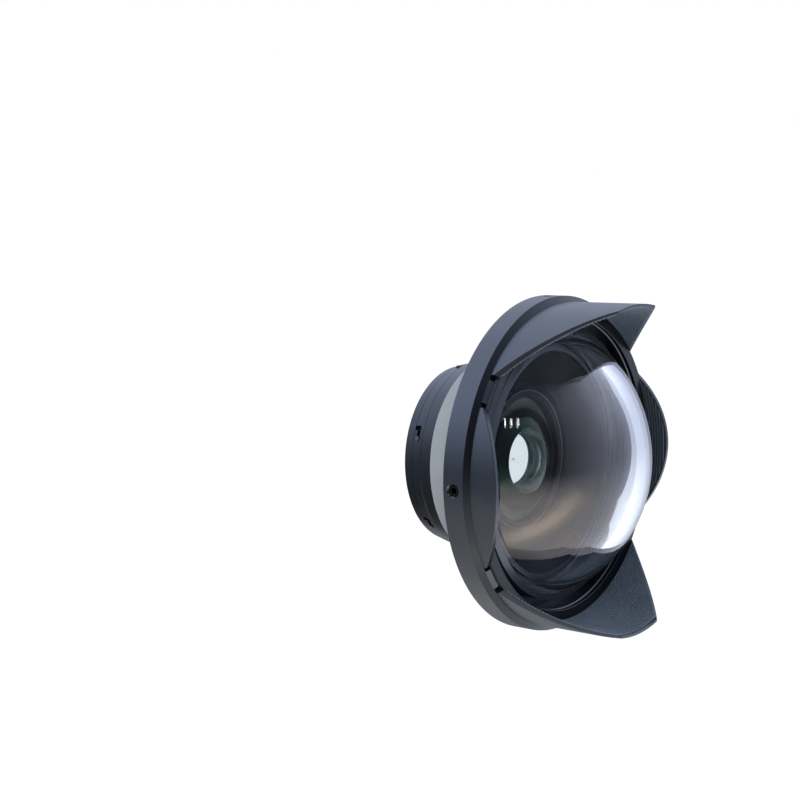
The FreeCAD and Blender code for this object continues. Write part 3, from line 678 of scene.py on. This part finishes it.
def plastic_material(name, colour, roughness, bump, grains):
    """Moulded plastic, foam or rubber with a fine grain."""
    tree, shader = new_material(name)
    grain = add_group(tree, "blasted_grain", Grains_per_metre=grains)
    specks = add_group(tree, "dust_specks", Cells_per_metre=240.0, Size=0.05)
    tone = mix_colour(tree, ramp(tree, grain["Mottle"], *MOTTLE_RANGE, 0.0, 1.0),
                      shaded(colour, 0.955), shaded(colour, 1.03))
    tone = mix_colour(tree, ramp(tree, grain["Grain"], 0.30, 0.45, 0.25, 0.0), tone,
                      shaded(colour, 0.85))
    tone = mix_colour(tree, math_node(tree, "MULTIPLY", specks["Speck"], 0.3), tone,
                      PLASTIC_DUST)
    link(tree, tone, shader.inputs["Base Color"])
    link(tree, ramp(tree, grain["Mottle"], *NOISE_RANGE, roughness - 0.05, roughness + 0.05),
         shader.inputs["Roughness"])
    bump_into(tree, shader, grain["Grain"], bump)


def steel_material(name, colour, rough):
    """Turned steel with fine lines."""
    tree, shader = new_material(name)
    lines = add_group(tree, "turning_lines", Lines_per_metre=9000.0)
    grain = add_group(tree, "blasted_grain", Grains_per_metre=9000.0)
    tone = mix_colour(tree, ramp(tree, grain["Mottle"], *NOISE_RANGE, 0.0, 1.0),
                      shaded(colour, 0.85), shaded(colour, 1.1))
    link(tree, tone, shader.inputs["Base Color"])
    link(tree, ramp(tree, lines["Line"], *NOISE_RANGE, *rough), shader.inputs["Roughness"])
    bump_into(tree, shader, grain["Grain"], 0.02 * MM)
    shader.inputs["Metallic"].default_value = 1.0


def glass_material(name, tint, coat_tint, index, dust):
    """Polished, coated glass with faint smears and, where dust is given, a few specks."""
    tree, shader = new_material(name)
    grain = add_group(tree, "blasted_grain", Grains_per_metre=2600.0)
    tone = mix_colour(tree, ramp(tree, grain["Mottle"], *NOISE_RANGE, 0.0, 1.0),
                      shaded(tint, 0.985), tint)
    shader.inputs["Roughness"].default_value = 0.0
    if dust:
        specks = add_group(tree, "dust_specks", Cells_per_metre=170.0, Size=0.035)
        dusty = math_node(tree, "MULTIPLY", specks["Speck"], dust)
        tone = mix_colour(tree, dusty, tone, shaded(tint, 0.8))
        link(tree, dusty, shader.inputs["Roughness"])
    link(tree, tone, shader.inputs["Base Color"])
    shader.inputs["Transmission Weight"].default_value = 1.0
    shader.inputs["Metallic"].default_value = 0.0
    shader.inputs["IOR"].default_value = index
    shader.inputs["Specular Tint"].default_value = (*coat_tint, 1.0)


def paint_material(name):
    """Matt black paint on the ground cone; the bare ground land beside it is grey-green."""
    tree, shader = new_material(name)
    grain = add_group(tree, "blasted_grain", Grains_per_metre=4200.0)
    radius = radius_from_axis(tree, components(tree, object_place(tree)))
    tone = mix_colour(tree, ramp(tree, radius, *BARE_LAND_EDGE, 0.0, 1.0), PAINT_BLACK,
                      BARE_LAND)
    tone = mix_colour(tree, ramp(tree, grain["Grain"], *NOISE_RANGE, 0.0, 0.3), tone,
                      PAINT_GRAIN)
    link(tree, tone, shader.inputs["Base Color"])
    shader.inputs["Roughness"].default_value = 0.7
    shader.inputs["IOR"].default_value = 1.05


def grooved_material(name, colour, sheen, pitch, first, ridge, groove):
    """Black anodising with painted shade on the groove floors and painted light on the ridges
    between them, so the floors are darker than the ridges.
    """
    tree, shader = new_material(name)
    grain = add_group(tree, "blasted_grain", Grains_per_metre=4200.0)
    forward = math_node(tree, "SUBTRACT", -first, components(tree, object_place(tree))["Y"])
    turn = math_node(tree, "FRACT", math_node(tree, "DIVIDE", forward, pitch))
    # Painted shade on the groove floors, painted light on the ridges
    shaded_floor_mask = math_node(tree, "COMPARE", turn, FLOOR_HALF_SHARE)
    shaded_floor_mask.node.inputs[2].default_value = FLOOR_HALF_SHARE
    tone = mix_colour(tree, shaded_floor_mask, shaded(colour, ridge), shaded(colour, groove))
    tone = mix_colour(tree, ramp(tree, grain["Mottle"], *MOTTLE_RANGE, 0.0, 0.25), tone,
                      shaded(colour, 1.4))
    link(tree, tone, shader.inputs["Base Color"])
    link(tree, ramp(tree, grain["Mottle"], *NOISE_RANGE, 0.38, 0.48), shader.inputs["Roughness"])
    shader.inputs["IOR"].default_value = 1.77
    shader.inputs["Specular Tint"].default_value = (*sheen, 1.0)


CAD_FINISHES = {
    "outer_anodising": ["port_ring", "bayonet_collar", "rear_barrel", "main_housing", "hood"],
    # The retainer and the land ring take a lighter copy of the black, a painted highlight
    "ring_anodising_painted_highlight": ["dome_retainer", "baffle_land_ring"],
    "baffle_anodising": ["baffle_cone", "lens_cell", "rear_lens_ring", "inner_lens_ring"],
    "spacer_anodising": ["cell_spacer"],
    "float_foam": ["float_collar"],
    "element_glass": ["rear_lens", "middle_lens", "inner_lens"],
    "seal_rubber_black": ["dome_seal", "cell_seal", "rear_lens_seal"],
    "stainless_steel_plain": ["collar_screws", "barrel_screws"],
    # The pins take a darkened copy of the stainless, painted shade of the slots they sit in
    "pin_steel_painted_shade": ["bayonet_pins"],
    "set_screw_steel": ["hood_set_screw_top", "hood_set_screw_right", "hood_set_screw_bottom",
                        "hood_set_screw_left"],
}


class LENS_OT_finishes(bpy.types.Operator):
    """Makes the shared node groups and every finish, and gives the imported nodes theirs."""

    bl_idname = "wet_lens.finishes"
    bl_label = "Finishes"

    def execute(self, context):
        turning_lines_group()
        blasted_grain_group()
        dust_group()
        tone = colours()
        size = sizes()
        black, sheen = tone.anodised, tone.anodised_sheen
        anodised_material("outer_anodising", black, sheen, index=1.77, rough=(0.26, 0.34),
                          bump=0.012 * MM)
        # A darker copy of the black for the hood's inner ring and shoulder shell: painted shade
        anodised_material("bevel_painted_shade_anodising", shaded(black, 0.45), sheen, index=1.45,
                          rough=(0.26, 0.34), bump=0.012 * MM, dust=0.2)
        anodised_material("baffle_anodising", tone.baffle, sheen, index=1.28,
                          rough=(0.45, 0.60), bump=0.010 * MM)
        # A copy of the black 22 times lighter for the ring's edge: painted highlight
        anodised_material("ring_edge_painted_highlight", shaded(black, 22.0), sheen, index=1.77,
                          rough=(0.40, 0.50), bump=0.0, dust=0.0)
        # A copy of the black five times lighter for the retainer and the land ring: painted
        # highlight on the retainer's bevel
        anodised_material("ring_anodising_painted_highlight", shaded(black, 5.0), sheen, index=1.77,
                          rough=(0.34, 0.44), bump=0.008 * MM, dust=0.15)
        anodised_material("spacer_anodising", SPACER_GREY, sheen, index=1.5,
                          rough=(0.40, 0.55), bump=0.008 * MM, dust=0.0)
        # The ridges take the black 17 and 9 times lighter (painted light), the floors 2.4 and 0.6
        # times (painted shade)
        grooved_material("large_groove_painted_light_shade", black, sheen, size.large_pitch,
                         first=size.hood_face + size.groove_start, ridge=17.0, groove=2.4)
        grooved_material("small_groove_painted_light_shade", black, sheen, size.small_pitch,
                         first=size.hood_face + size.groove_inset, ridge=9.0, groove=0.6)
        plastic_material("float_foam", tone.float_grey, roughness=0.62, bump=0.03 * MM,
                         grains=3600.0)
        plastic_material("seal_rubber_black", tone.rubber, roughness=0.48, bump=0.02 * MM,
                         grains=5200.0)
        steel_material("stainless_steel_plain", tone.stainless, rough=(0.20, 0.34))
        # A copy of the stainless darkened to 0.16 for the pins down in the bayonet slots: painted
        # shade
        steel_material("pin_steel_painted_shade", shaded(tone.stainless, 0.16), rough=(0.30, 0.42))
        steel_material("set_screw_steel", tone.black_steel, rough=(0.28, 0.42))
        paint_material("element_paint_black")
        glass_material("dome_glass_coated", tone.dome_tint, tone.dome_coat, index=1.50,
                       dust=0.30)
        glass_material("element_glass", tone.element_tint, tone.element_coat, index=1.55,
                       dust=0.0)
        for finish, nodes in CAD_FINISHES.items():
            for node in nodes:
                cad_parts[node].data.materials[0] = bpy.data.materials[finish]
        return {"FINISHED"}


class LENS_OT_dome(bpy.types.Operator):
    """Makes the dome glass as one smooth closed shell."""

    bl_idname = "wet_lens.dome"
    bl_label = "Dome glass"

    def execute(self, context):
        glass = bpy.data.materials["dome_glass_coated"]
        piece = finish_mesh(dome_mesh(), "dome_glass_shell", glass, smooth_angle=30.0)
        place(piece, "lens")
        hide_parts("dome")
        return {"FINISHED"}


class LENS_OT_petal_grooves(bpy.types.Operator):
    """Makes the grooved inner faces of the four petals."""

    bl_idname = "wet_lens.petal_grooves"
    bl_label = "Petal grooves"

    def execute(self, context):
        size = sizes()
        inset = size.groove_inset
        metal = bpy.data.materials["large_groove_painted_light_shade"]
        low = size.hood_face + size.groove_start
        foot = size.wall_radius * math.sin(size.large_half_angle)
        border = arc_points((foot, size.hood_face), (size.large_tip, PETAL_TIPS),
                            size.large_side, LARGE_BORDER_STEPS)
        border = [Vector((p.x - inset, p.y)) for p in border]
        for name, clock in (("petal_grooves_top", 0.0), ("petal_grooves_bottom", math.pi)):
            grooved_liner(name, clock, border, low, PETAL_TIPS - inset, size.large_corner,
                          size.large_pitch, size.large_half_angle, LARGE_PETAL_STEPS, metal)
        metal = bpy.data.materials["small_groove_painted_light_shade"]
        low = size.hood_face + inset
        foot = size.wall_radius * math.sin(size.small_half_angle)
        top = size.hood_face + size.small_height
        bend = (foot ** 2 + size.small_height ** 2) / (2 * size.small_height)
        border = arc_points((foot, size.hood_face), (0.0, top), bend, SMALL_BORDER_STEPS)
        border = [Vector((p.x - inset * p.x / foot, p.y - inset)) for p in border]
        for name, clock in (("petal_grooves_right", math.pi / 2),
                            ("petal_grooves_left", -math.pi / 2)):
            grooved_liner(name, clock, border, low, top - inset, 0.0, size.small_pitch,
                          size.small_half_angle, SMALL_PETAL_STEPS, metal)
        return {"FINISHED"}


class LENS_OT_hood_ring(bpy.types.Operator):
    """Makes the raised ring on the hood's lip and the thin shell over its shoulder bevel, both in
    a darker copy of the black anodising that paints shade there.
    """

    bl_idname = "wet_lens.hood_ring"
    bl_label = "Hood rings"

    def execute(self, context):
        metal = bpy.data.materials["bevel_painted_shade_anodising"]
        for name, profile in (("hood_inner_ring", HOOD_RING_PROFILE),
                              ("hood_shoulder_bevel", SHOULDER_PROFILE)):
            piece = finish_mesh(turned_strip(profile), name, metal, smooth_angle=25.0)
            place(piece, "hood")
        return {"FINISHED"}


class LENS_OT_element_paint(bpy.types.Operator):
    """Makes the paint on the inner lens's ground cone and a lighter edge on its ring, which is a
    painted highlight.
    """

    bl_idname = "wet_lens.element_paint"
    bl_label = "Element paint and ring edge"

    def execute(self, context):
        for name, profile, finish in (
                ("inner_lens_paint", PAINT_PROFILE, "element_paint_black"),
                ("inner_lens_ring_highlight_edge", RING_HIGHLIGHT_PROFILE, "ring_edge_painted_highlight")):
            piece = finish_mesh(turned_strip(profile), name, bpy.data.materials[finish],
                                smooth_angle=25.0)
            place(piece, "lens")
        return {"FINISHED"}


class LENS_OT_port_thread(bpy.types.Operator):
    """Makes the fine thread on the port ring's spigot."""

    bl_idname = "wet_lens.port_thread"
    bl_label = "Port thread"

    def execute(self, context):
        metal = bpy.data.materials["outer_anodising"]
        piece = finish_mesh(thread_mesh(), "port_thread_ridge", metal, smooth_angle=40.0)
        place(piece, "port_side")
        return {"FINISHED"}


# Stage

def aim(location, target):
    """A matrix that puts something at a location and points its -Z axis at a target."""
    back = (Vector(location) - Vector(target)).normalized()
    side = Vector((0, 0, 1)).cross(back).normalized()
    up = back.cross(side)
    rows = Matrix((side, up, back)).transposed().to_4x4()
    return Matrix.Translation(location) @ rows


def panel_lamp(name, location, target, width, height, radiance):
    """A soft rectangular lamp of a given radiance."""
    lamp = bpy.data.lights.new(name, "AREA")
    lamp.shape = "RECTANGLE"
    lamp.size = width
    lamp.size_y = height
    lamp.energy = radiance * math.pi * width * height
    holder = bpy.data.objects.new(name, lamp)
    bpy.context.scene.collection.objects.link(holder)
    holder.matrix_world = aim(location, target)
    return holder


def make_camera():
    camera = bpy.data.cameras.new("photo_camera")
    camera.lens = stage_values().focal
    camera.sensor_width = 36.0
    camera.clip_start = 0.01
    camera.clip_end = 50.0
    holder = bpy.data.objects.new("photo_camera", camera)
    bpy.context.scene.collection.objects.link(holder)
    right, back = Vector(CAMERA_RIGHT), Vector(CAMERA_BACK)
    right = (right - back * right.dot(back) / back.length_squared).normalized()
    back.normalize()
    up = back.cross(right)
    turn = Matrix((right, up, back)).transposed().to_4x4()
    holder.matrix_world = Matrix.Translation(CAMERA_PLACE) @ turn
    bpy.context.scene.camera = holder


def curve_ramp(tree, value, stops):
    """A grey ramp through (place, level) stops, the two ends first."""
    node = tree.nodes.new("ShaderNodeValToRGB")
    node.color_ramp.interpolation = "EASE"
    elements = node.color_ramp.elements
    for index, (place_at, level) in enumerate(stops):
        if index < 2:
            element = elements[index]
            element.position = place_at
        else:
            element = elements.new(place_at)
        grey = level / ROOM_TOP_LEVEL
        element.color = (grey, grey, grey, 1.0)
    link(tree, value, node.inputs["Fac"])
    return math_node(tree, "MULTIPLY", node.outputs["Color"], ROOM_TOP_LEVEL)


def scaled_colour(tree, level, colour):
    node = tree.nodes.new("ShaderNodeVectorMath")
    node.operation = "SCALE"
    feed(tree, colour, node.inputs[0])
    link(tree, level, node.inputs["Scale"])
    return node.outputs[0]


def dot_with(tree, direction, axis):
    node = tree.nodes.new("ShaderNodeVectorMath")
    node.operation = "DOT_PRODUCT"
    link(tree, direction, node.inputs[0])
    node.inputs[1].default_value = Vector(axis).normalized()
    return node.outputs["Value"]


def zone(tree, parts, ramps):
    """The product of a zone's ramps."""
    steps = [ramp(tree, parts[axis], *levels) for axis, *levels in ramps]
    product = steps[0]
    for step in steps[1:]:
        product = math_node(tree, "MULTIPLY", product, step)
    return product


def lightened(tree, level, rise):
    return math_node(tree, "MULTIPLY", level, math_node(tree, "ADD", rise, 1.0))


def darkened(tree, level, fall):
    return math_node(tree, "MULTIPLY", level, math_node(tree, "SUBTRACT", 1.0, fall))


def gloss_or_glass(tree, path):
    return math_node(tree, "MAXIMUM", path["Is Glossy Ray"], path["Is Transmission Ray"])


def room_level(tree, direction, parts):
    """The walls: dark round the camera and at its left, lighter above and at the right."""
    share = ramp(tree, dot_with(tree, direction, CAMERA_BACK), -1.0, 1.0, 0.0, 1.0)
    room = curve_ramp(tree, share, ROOM_LEVELS)
    across = ramp(tree, dot_with(tree, direction, CAMERA_LEFT), *DARK_SIDE_ACROSS)
    height = math_node(tree, "SUBTRACT", parts["Z"], DARK_SIDE_HEIGHT)
    upwards = ramp(tree, math_node(tree, "ABSOLUTE", height), *DARK_SIDE_UPWARDS)
    room = darkened(tree, room, math_node(tree, "MULTIPLY", across, upwards))
    room = lightened(tree, room, zone(tree, parts, LIGHT_ABOVE))
    raised = math_node(tree, "SUBTRACT", zone(tree, parts, LIGHT_AT_RIGHT),
                       zone(tree, parts, TOP_SHADE))
    raised = math_node(tree, "MULTIPLY", raised, zone(tree, parts, BEFORE_THE_LENS))
    return lightened(tree, room, raised)


def ground_level(tree, parts):
    """The ground: brightest before the lens, shaded behind it."""
    shade = math_node(tree, "MAXIMUM", zone(tree, parts, GROUND_SHADE),
                      zone(tree, parts, GROUND_REAR_SHADE))
    ground = darkened(tree, zone(tree, parts, GROUND), shade)
    return lightened(tree, ground, zone(tree, parts, GROUND_RIM))


def streak_share(tree, direction):
    """A soft streak of warm light low before the lens."""
    off_plane = math_node(tree, "ABSOLUTE", dot_with(tree, direction, STREAK_PLANE))
    return math_node(tree, "MULTIPLY", ramp(tree, off_plane, *STREAK_ACROSS),
                     ramp(tree, dot_with(tree, direction, STREAK_MIDDLE), *STREAK_ALONG))


def make_world():
    """White for the camera, even for diffuse light, and a room for gloss and glass."""
    world = bpy.data.worlds.new("studio")
    bpy.context.scene.world = world
    world.use_nodes = True
    tree = world.node_tree
    background = tree.nodes["Background"]
    path = tree.nodes.new("ShaderNodeLightPath").outputs
    direction = tree.nodes.new("ShaderNodeTexCoord").outputs["Generated"]
    parts = components(tree, direction)
    walls = scaled_colour(tree, room_level(tree, direction, parts), ROOM_TINT)
    ground_tint = mix_colour(tree, zone(tree, parts, GROUND_TINT_CHANGE), GROUND_TINT_LEFT,
                             GROUND_TINT_RIGHT)
    ground = scaled_colour(tree, ground_level(tree, parts), ground_tint)
    seen = mix_colour(tree, zone(tree, parts, BELOW_THE_ROOM), walls, ground)
    seen = mix_colour(tree, streak_share(tree, direction), seen, STREAK_COLOUR)
    through = math_node(tree, "MULTIPLY", path["Is Transmission Ray"],
                        zone(tree, parts, PORT_WINDOW))
    seen = mix_colour(tree, through, seen, PORT_LIGHT)
    rear = darkened(tree, zone(tree, parts, REAR_SHADE), path["Is Transmission Ray"])
    seen = mix_colour(tree, rear, seen, BLACK)
    sky = stage_values().sky_level
    colour = mix_colour(tree, gloss_or_glass(tree, path), (sky, sky, sky), seen)
    colour = mix_colour(tree, path["Is Camera Ray"], colour, WHITE)
    link(tree, colour, background.inputs["Color"])
    background.inputs["Strength"].default_value = 1.0


def mix_shaders(tree, share, first, second):
    node = tree.nodes.new("ShaderNodeMixShader")
    for source, socket in zip((share, first, second), node.inputs):
        link(tree, source, socket)
    return node.outputs[0]


def floor_material():
    """Pale floor that keeps its shadow; gloss and glass see the room through it."""
    tree, shader = new_material("studio_floor")
    shader.inputs["Base Color"].default_value = (*FLOOR_GREY, 1.0)
    shader.inputs["Roughness"].default_value = FLOOR_ROUGHNESS
    path = tree.nodes.new("ShaderNodeLightPath").outputs
    glow = tree.nodes.new("ShaderNodeEmission")
    glow.inputs["Color"].default_value = (*WHITE, 1.0)
    glow.inputs["Strength"].default_value = FLOOR_GLOW
    clear = tree.nodes.new("ShaderNodeBsdfTransparent")
    share = math_node(tree, "MULTIPLY", path["Is Camera Ray"], FLOOR_GLOW_SHARE)
    lit = mix_shaders(tree, share, shader.outputs[0], glow.outputs[0])
    mixed = mix_shaders(tree, gloss_or_glass(tree, path), lit, clear.outputs[0])
    link(tree, mixed, tree.nodes["Material Output"].inputs["Surface"])


class LENS_OT_stage(bpy.types.Operator):
    """Makes the floor, the lamps, the world and the camera."""

    bl_idname = "wet_lens.stage"
    bl_label = "Stage"

    def execute(self, context):
        make_camera()
        make_world()
        stage = stage_values()
        bm = bmesh.new()
        bmesh.ops.create_circle(bm, cap_ends=True, segments=FLOOR_SEGMENTS,
                                radius=FLOOR_RADIUS)
        bmesh.ops.translate(bm, verts=bm.verts, vec=(0, 0, stage.floor_height))
        mesh = bpy.data.meshes.new("studio_floor")
        bm.to_mesh(mesh)
        bm.free()
        floor = bpy.data.objects.new("studio_floor", mesh)
        context.scene.collection.objects.link(floor)
        floor_material()
        mesh.materials.append(bpy.data.materials["studio_floor"])
        panel = panel_lamp("soft_panel", PANEL_PLACE, PANEL_TARGET, PANEL_SIDE, PANEL_SIDE,
                           stage.panel_level)
        panel.visible_glossy = False
        panel.visible_transmission = False
        for name, direction in STRIP_DIRECTIONS:
            spot = Vector(STRIP_TARGET) + Vector(direction) * STRIP_DISTANCE
            panel_lamp(name, spot, STRIP_TARGET, STRIP_WIDTH, STRIP_HEIGHT, stage.strip_level)
        context.scene.view_settings.view_transform = "Standard"
        return {"FINISHED"}


class LENS_PT_panel(bpy.types.Panel):
    """Lists the pieces, their sizes and their colours."""

    bl_idname = "LENS_PT_panel"
    bl_label = "Wet lens"
    bl_space_type = "VIEW_3D"
    bl_region_type = "UI"
    bl_category = "Wet Lens"

    def draw(self, context):
        for operator in OPERATORS:
            self.layout.operator(operator.bl_idname)
        for group in (context.scene.lens_sizes, context.scene.lens_colours,
                      context.scene.lens_stage):
            box = self.layout.box()
            for label in group.bl_rna.properties.keys():
                if label not in ("rna_type", "name"):
                    box.prop(group, label)


OPERATORS = (LENS_OT_finishes, LENS_OT_dome, LENS_OT_petal_grooves, LENS_OT_hood_ring,
             LENS_OT_element_paint, LENS_OT_port_thread, LENS_OT_stage)
GROUPS = (LensSizes, LensColours, LensStage)


def register():
    for cls in GROUPS + OPERATORS + (LENS_PT_panel,):
        bpy.utils.register_class(cls)
    bpy.types.Scene.lens_sizes = PointerProperty(type=LensSizes)
    bpy.types.Scene.lens_colours = PointerProperty(type=LensColours)
    bpy.types.Scene.lens_stage = PointerProperty(type=LensStage)


def unregister():
    del bpy.types.Scene.lens_stage
    del bpy.types.Scene.lens_colours
    del bpy.types.Scene.lens_sizes
    for cls in reversed(GROUPS + OPERATORS + (LENS_PT_panel,)):
        bpy.utils.unregister_class(cls)


def main():
    register()
    bpy.ops.wet_lens.finishes()
    bpy.ops.wet_lens.dome()
    bpy.ops.wet_lens.petal_grooves()
    bpy.ops.wet_lens.hood_ring()
    bpy.ops.wet_lens.element_paint()
    bpy.ops.wet_lens.port_thread()
    bpy.ops.wet_lens.stage()


if __name__ == "__main__":
    main()
